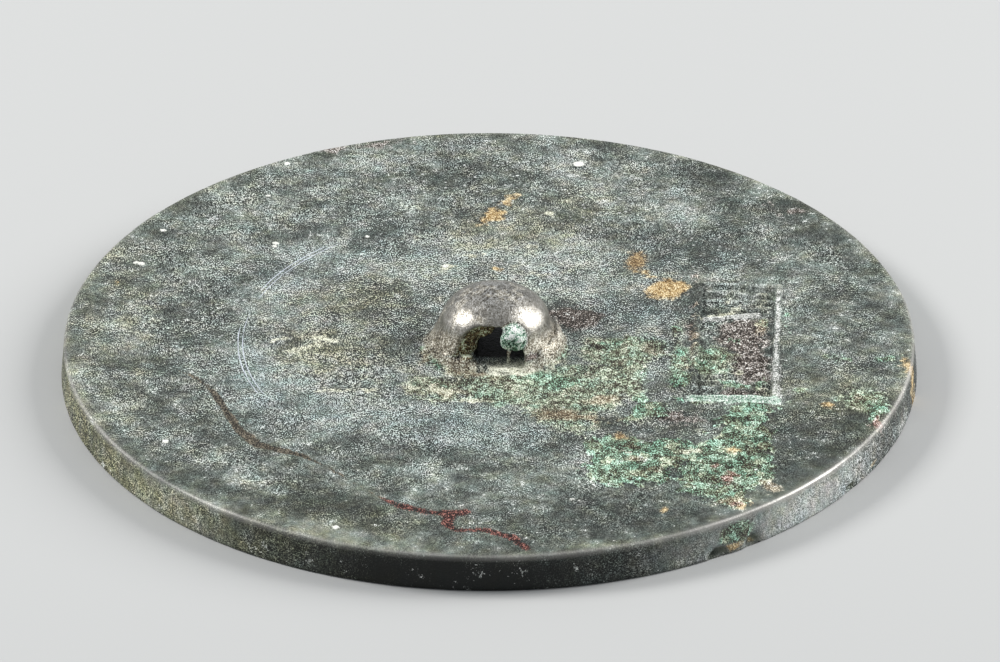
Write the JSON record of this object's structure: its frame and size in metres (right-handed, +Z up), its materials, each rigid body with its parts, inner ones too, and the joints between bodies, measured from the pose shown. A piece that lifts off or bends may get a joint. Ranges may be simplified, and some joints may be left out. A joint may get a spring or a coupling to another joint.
{
  "type": "bronze mirror",
  "caption": "Round cast bronze mirror lying back up, with a pierced domed knob for a cord and a framed panel of shallow marks; green and brown patina.",
  "frame": {"origin": "centre of the disc on its underside, the polished side it lies on", "axes": "+Z up out of the back through the knob, +X from the knob towards the framed panel, +Y along the cord hole, away from its pictured end"},
  "size_m": [0.115, 0.115, 0.0135],
  "materials": {
    "patinated_bronze": "corroded, dull, with green and brown crusts and a rubbed rim and knob"
  },
  "bodies": {
    "root": {"round_mirror": "patinated_bronze"}
  },
  "joints": []
}
